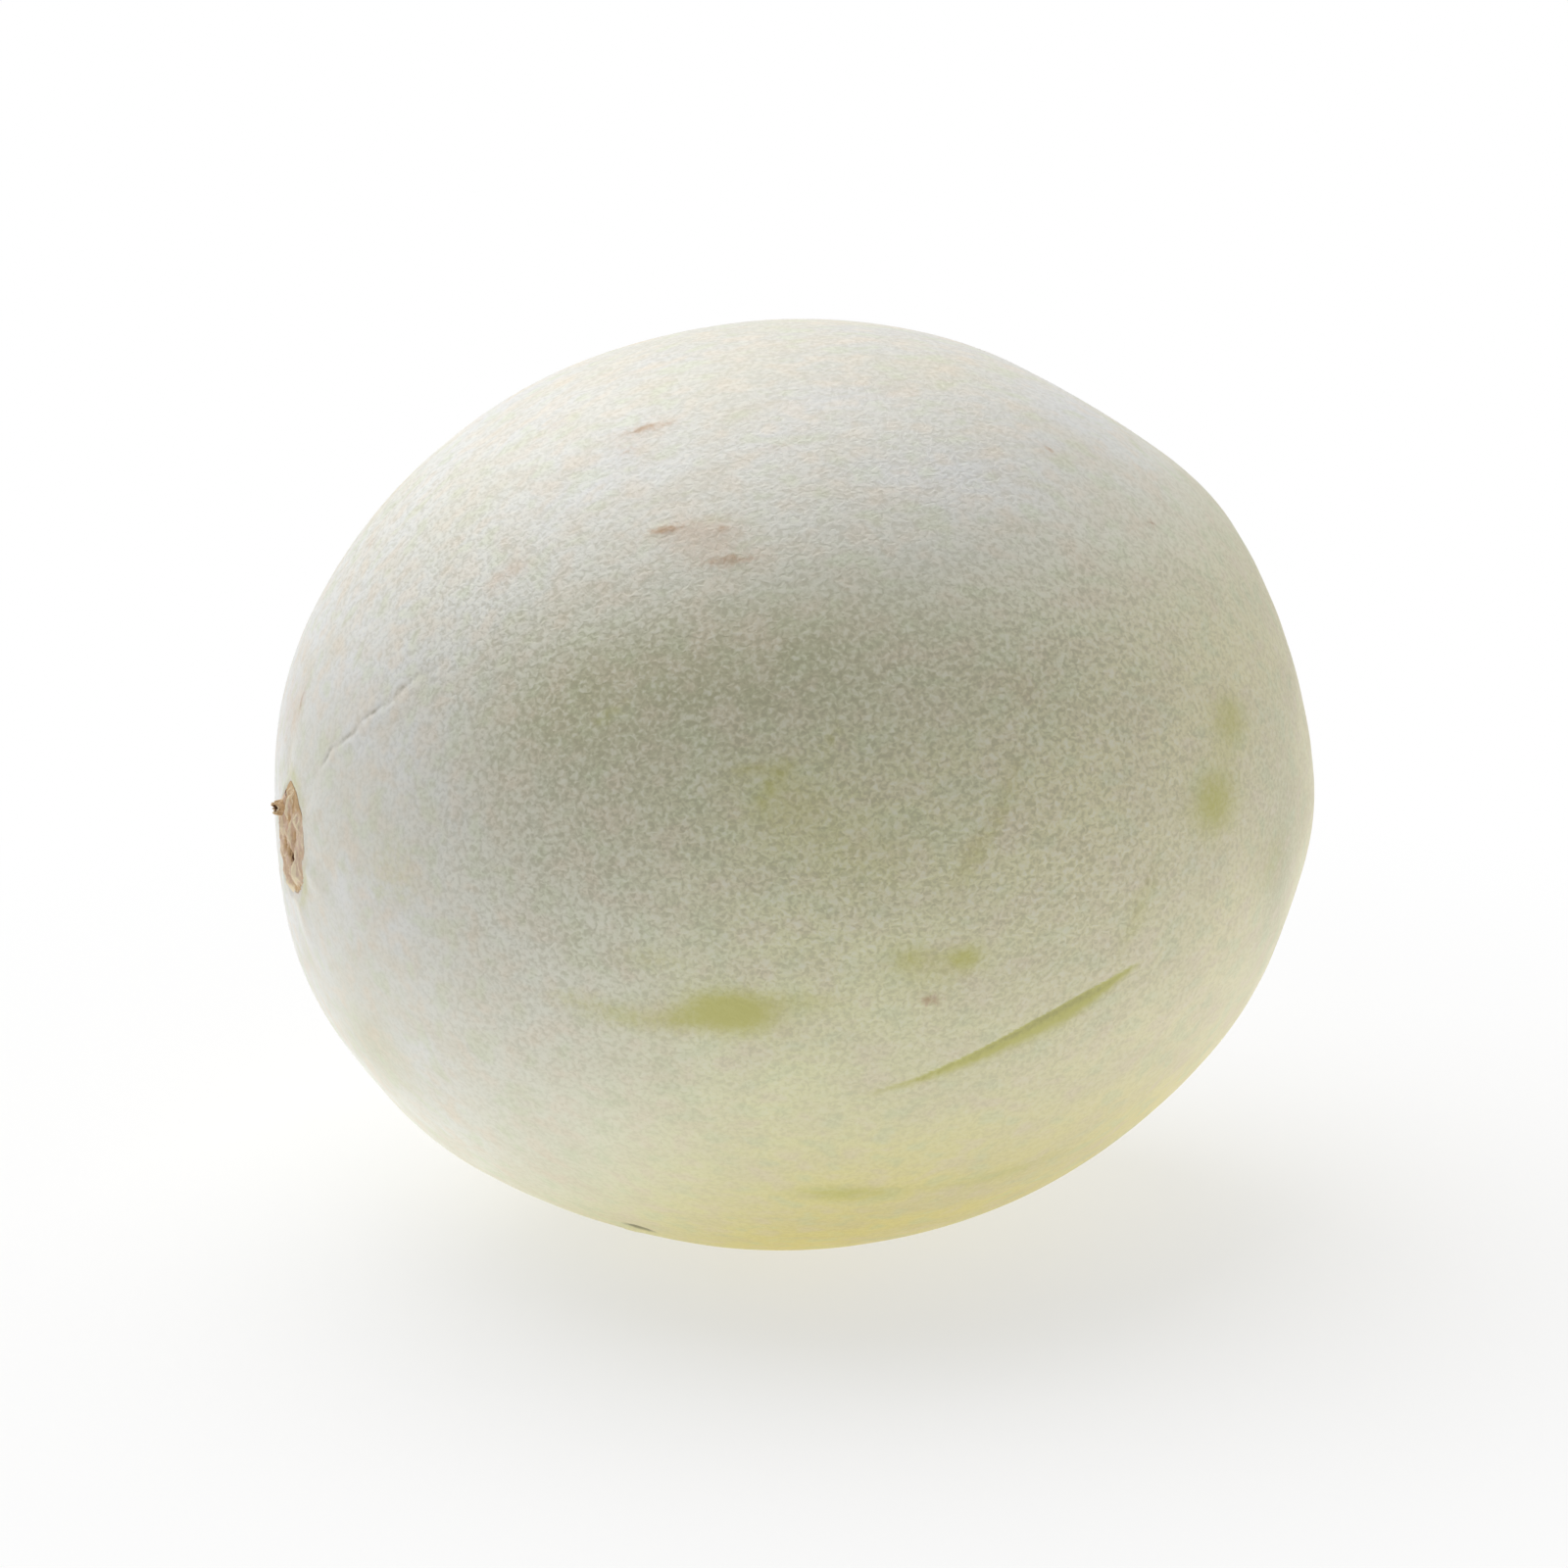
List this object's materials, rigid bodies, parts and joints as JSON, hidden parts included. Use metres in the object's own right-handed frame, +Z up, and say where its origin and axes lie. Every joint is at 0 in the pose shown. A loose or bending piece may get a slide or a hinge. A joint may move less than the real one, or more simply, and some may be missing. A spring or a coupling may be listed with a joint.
{
  "type": "honeydew melon",
  "caption": "Whole pale honeydew melon lying on its side, with a dried corky stem end; free-standing fruit that rests on its flat ground spot.",
  "frame": {"origin": "centre of the flat ground spot, on the plane that the melon rests on", "axes": "+Z up, +X along the melon's length towards the blossom end; the stem end points along -X"},
  "size_m": [0.1919, 0.1674, 0.1652],
  "materials": {
    "skin": "smooth waxy rind, pale grey-green with yellow-green patches and fine net-like grain",
    "dry_stem": "dry, ragged and corky"
  },
  "bodies": {
    "root": {"fruit": "skin", "stem_stub": "dry_stem"}
  },
  "joints": []
}
